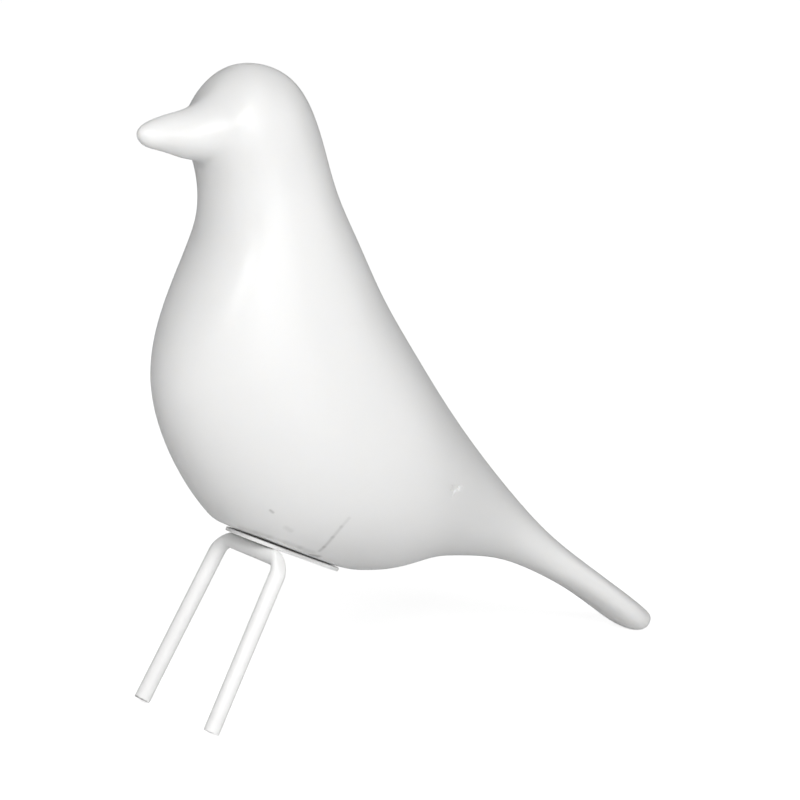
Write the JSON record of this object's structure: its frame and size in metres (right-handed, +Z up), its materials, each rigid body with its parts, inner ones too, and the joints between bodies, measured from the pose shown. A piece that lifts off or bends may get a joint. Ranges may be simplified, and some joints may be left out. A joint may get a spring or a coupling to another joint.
{
  "type": "porcelain bird ornament",
  "caption": "Smooth glazed porcelain bird that stands on a bent wire and the tip of its tail, for a shelf or table.",
  "frame": {"origin": "on the ground, under the middle of the ornament's box", "axes": "+Z up, +Y towards the tail, +X towards the bird's left side"},
  "size_m": [0.0646, 0.1886, 0.1975],
  "materials": {
    "porcelain": "glossy white glaze",
    "painted_wire": "satin white paint on steel wire",
    "painted_plate": "satin white paint on steel sheet"
  },
  "bodies": {
    "root": {"bird_body": "porcelain", "leg_wire": "painted_wire", "mounting_plate": "painted_plate"}
  },
  "joints": []
}
